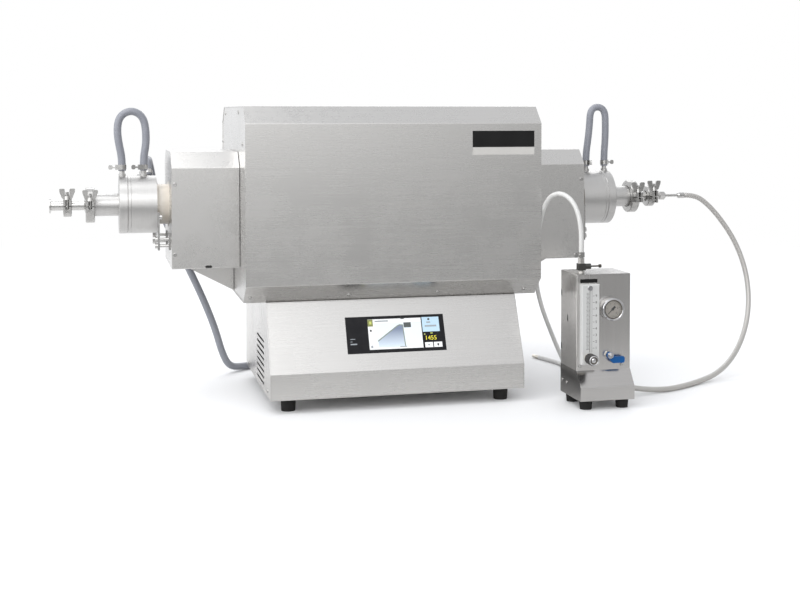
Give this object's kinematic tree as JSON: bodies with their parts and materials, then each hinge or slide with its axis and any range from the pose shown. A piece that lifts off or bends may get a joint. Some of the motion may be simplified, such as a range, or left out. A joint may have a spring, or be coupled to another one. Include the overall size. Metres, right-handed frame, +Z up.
{
  "type": "tube furnace",
  "caption": "Bench-top tube furnace with a ceramic work tube, water-cooled clamped end flanges, a touch display and a separate gas supply unit.",
  "frame": {"origin": "bench level, under the middle of the box round the furnace and its gas unit, without the hoses", "axes": "+X along the work tube towards the gas inlet, +Y from the display to the back, +Z up"},
  "size_m": [1.5024, 0.6457, 0.587],
  "materials": {
    "brushed_steel": "brushed stainless sheet",
    "gas_unit_steel": "fine ground stainless sheet",
    "zinc_plated": "zinc plated sheet",
    "ceramic_fibre": "vacuum formed white ceramic fibre",
    "silicon_carbide": "dark grey recrystallised silicon carbide",
    "bare_aluminium": "bare aluminium",
    "alumina": "cream dense ceramic, semi-gloss",
    "display_glass": "black glass",
    "black_rubber": "matte black rubber",
    "grey_plastic": "grey moulded plastic",
    "black_plastic": "black moulded plastic",
    "rocker_plastic": "black moulded plastic",
    "polished_steel": "polished stainless",
    "satin_steel": "satin turned stainless",
    "plated_steel": "nickel plated steel",
    "clear_acrylic": "clear acrylic",
    "float_steel": "steel float",
    "black_knob": "black fluted knob with metal face",
    "gauge_glass": "clear window",
    "needle_black": "black pointer",
    "plated_brass": "nickel plated brass",
    "dark_brass": "dark plated brass",
    "blue_plastic": "blue dipped lever",
    "cast_aluminium": "polished cast aluminium",
    "grey_hose": "bluish grey soft hose",
    "braided_hose": "light grey braided hose",
    "clear_hose": "translucent hose"
  },
  "bodies": {
    "furnace": {"ball_valve": "plated_brass", "base_cabinet": "brushed_steel", "cable_ducts": "brushed_steel", "cable_gland": "grey_plastic", "control_panel": "brushed_steel", "end_panels": "brushed_steel", "fan_frame": "black_plastic", "fibre_collars": "ceramic_fibre", "flange_body_left": "satin_steel", "flange_body_right": "satin_steel", "flange_cover_left": "satin_steel", "flange_cover_right": "satin_steel", "flange_supports": "plated_steel", "flow_meter": "clear_acrylic", "gas_hose": "braided_hose", "gas_hose_fitting": "plated_steel", "gas_outlet": "plated_brass", "gas_unit_base": "gas_unit_steel", "gas_unit_cover": "gas_unit_steel", "gas_unit_front": "gas_unit_steel", "gauge_case": "plated_steel", "gauge_glass": "gauge_glass", "heating_rods": "silicon_carbide", "hose_clamps": "plated_steel", "inlet_adapter": "polished_steel", "insulation_halves": "ceramic_fibre", "insulation_rails": "zinc_plated", "large_clamps": "cast_aluminium", "loop_hose_left": "grey_hose", "loop_hose_right": "grey_hose", "mains_switch": "black_plastic", "outer_casing": "brushed_steel", "outlet_nipple": "polished_steel", "rear_panel": "brushed_steel", "reducers": "polished_steel", "rod_terminals": "bare_aluminium", "rubber_feet": "black_rubber", "seal_rings": "black_rubber", "side_boxes": "brushed_steel", "small_clamps": "cast_aluminium", "supply_coupling": "plated_brass", "supply_hose": "clear_hose", "switchgear": "grey_plastic", "thermocouple": "alumina", "top_valve": "dark_brass", "touch_display": "display_glass", "water_hose": "grey_hose", "work_tube": "alumina"},
    "wing_nut_large_left": {"large_wing_nut_left": "cast_aluminium"},
    "wing_nut_large_right": {"large_wing_nut_right": "cast_aluminium"},
    "wing_nut_small_left": {"small_wing_nut_left": "cast_aluminium"},
    "wing_nut_small_right": {"small_wing_nut_right": "cast_aluminium"},
    "fan": {"fan_rotor": "black_plastic"},
    "rocker": {"mains_rocker": "rocker_plastic"},
    "float": {"flow_float": "float_steel"},
    "knob": {"flow_knob": "black_knob"},
    "needle": {"gauge_needle": "needle_black"},
    "lever": {"valve_handle": "blue_plastic"},
    "plunger": {"valve_plunger": "plated_steel"}
  },
  "joints": [
    {"name": "large_nut_left_turn", "type": "hinge", "parent": "furnace", "child": "wing_nut_large_left", "pos_m": [-0.577, 0.0329, 0.395], "axis": [0, 0, 1], "continuous": true},
    {"name": "large_nut_right_turn", "type": "hinge", "parent": "furnace", "child": "wing_nut_large_right", "pos_m": [0.573, 0.0329, 0.395], "axis": [0, 0, 1], "continuous": true},
    {"name": "small_nut_left_turn", "type": "hinge", "parent": "furnace", "child": "wing_nut_small_left", "pos_m": [-0.6205, 0.04715, 0.3975], "axis": [0, 0, 1], "continuous": true},
    {"name": "small_nut_right_turn", "type": "hinge", "parent": "furnace", "child": "wing_nut_small_right", "pos_m": [0.6165, 0.04715, 0.3975], "axis": [0, 0, 1], "continuous": true},
    {"name": "fan_spin", "type": "hinge", "parent": "furnace", "child": "fan", "pos_m": [-0.122, 0.2139, 0.11], "axis": [0, 1, 0], "continuous": true},
    {"name": "rocker_tilt", "type": "hinge", "parent": "furnace", "child": "rocker", "pos_m": [0.118, 0.2249, 0.09], "axis": [1, 0, 0], "range_deg": [-16, 0]},
    {"name": "float_rise", "type": "slide", "parent": "furnace", "child": "float", "axis": [0, 0, 1], "range_m": [0, 0.096]},
    {"name": "knob_turn", "type": "hinge", "parent": "furnace", "child": "knob", "pos_m": [0.343, -0.2761, 0.099], "axis": [0, -1, 0], "range_deg": [0, 1080]},
    {"name": "needle_swing", "type": "hinge", "parent": "furnace", "child": "needle", "pos_m": [0.392, -0.2651, 0.191], "axis": [0, 1, 0], "range_deg": [0, 270], "stiffness_Nm_per_rad": 0.001},
    {"name": "lever_swing", "type": "hinge", "parent": "furnace", "child": "lever", "pos_m": [0.388, -0.2601, 0.102], "axis": [0, -1, 0], "range_deg": [0, 90]},
    {"name": "plunger_push", "type": "slide", "parent": "furnace", "child": "plunger", "axis": [-1, 0, 0], "range_m": [0, 0.006], "stiffness_N_per_m": 150}
  ]
}
